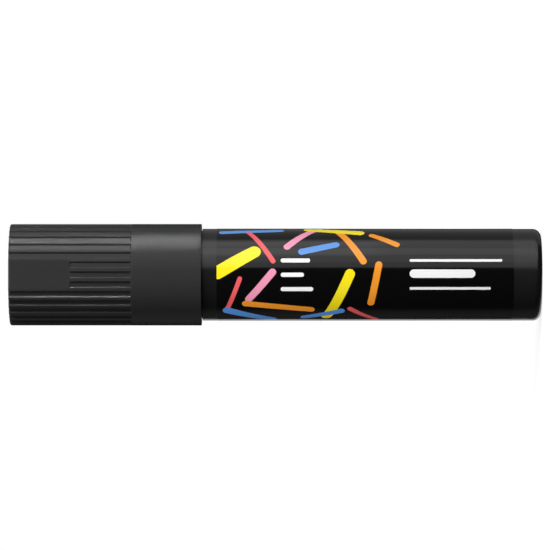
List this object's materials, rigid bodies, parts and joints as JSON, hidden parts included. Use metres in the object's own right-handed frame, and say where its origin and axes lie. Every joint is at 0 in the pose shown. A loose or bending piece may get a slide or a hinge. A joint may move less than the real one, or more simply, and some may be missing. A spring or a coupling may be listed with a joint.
{
  "type": "paint marker",
  "caption": "Wide valve-action acrylic paint marker: black barrel with wrapped label, ribbed push-on cap, inner seal, block nib and sprung valve.",
  "frame": {"origin": "centre of the barrel's flat closed end, which the marker stands on", "axes": "+Z along the marker from the barrel's closed end to the cap's top; -Y out of the cap's flat panel and the nib's broad side"},
  "size_m": [0.0264, 0.0264, 0.1385],
  "materials": {
    "cap_plastic": "semi-matte moulded black",
    "barrel_plastic": "glossy moulded black",
    "label_film": "glossy black printed film with coloured bars",
    "collar_plastic": "semi-matte moulded black",
    "liner_plastic": "natural white moulding",
    "valve_plastic": "white moulding",
    "seal_rubber": "soft dark rubber",
    "felt": "dense off-white felt",
    "steel": "bright steel"
  },
  "bodies": {
    "barrel": {"barrel": "barrel_plastic", "label": "label_film", "collar": "collar_plastic", "collar_gasket": "seal_rubber", "valve_seat": "valve_plastic", "valve_cage": "valve_plastic", "valve_spring": "steel"},
    "plunger": {"valve_plunger": "valve_plastic", "valve_seal": "seal_rubber", "nib_carrier": "valve_plastic"},
    "nib": {"nib": "felt"},
    "cap_liner": {"cap_liner": "liner_plastic"},
    "cap_shell": {"cap_shell": "cap_plastic"},
    "ball_1": {"mixing_ball_1": "steel"},
    "ball_2": {"mixing_ball_2": "steel"}
  },
  "joints": [
    {"name": "cap_pull", "type": "slide", "parent": "barrel", "child": "cap_liner", "axis": [0, 0, 1], "range_m": [0, 0.06]},
    {"name": "cap_turn", "type": "hinge", "parent": "cap_liner", "child": "cap_shell", "pos_m": [0, 0, 0.1385], "axis": [0, 0, 1], "continuous": true},
    {"name": "nib_press", "type": "slide", "parent": "barrel", "child": "plunger", "axis": [0, 0, 1], "range_m": [-0.0025, 0], "stiffness_N_per_m": 1500, "springref_m": 0.002, "deforming": ["valve_spring"]},
    {"name": "nib_pull", "type": "slide", "parent": "plunger", "child": "nib", "axis": [0, 0, 1], "range_m": [0, 0.0055]},
    {"name": "ball_1_travel", "type": "slide", "parent": "barrel", "child": "ball_1", "axis": [0, 0, 1], "range_m": [0, 0.064]},
    {"name": "ball_2_travel", "type": "slide", "parent": "barrel", "child": "ball_2", "axis": [0, 0, 1], "range_m": [0, 0.064]}
  ]
}
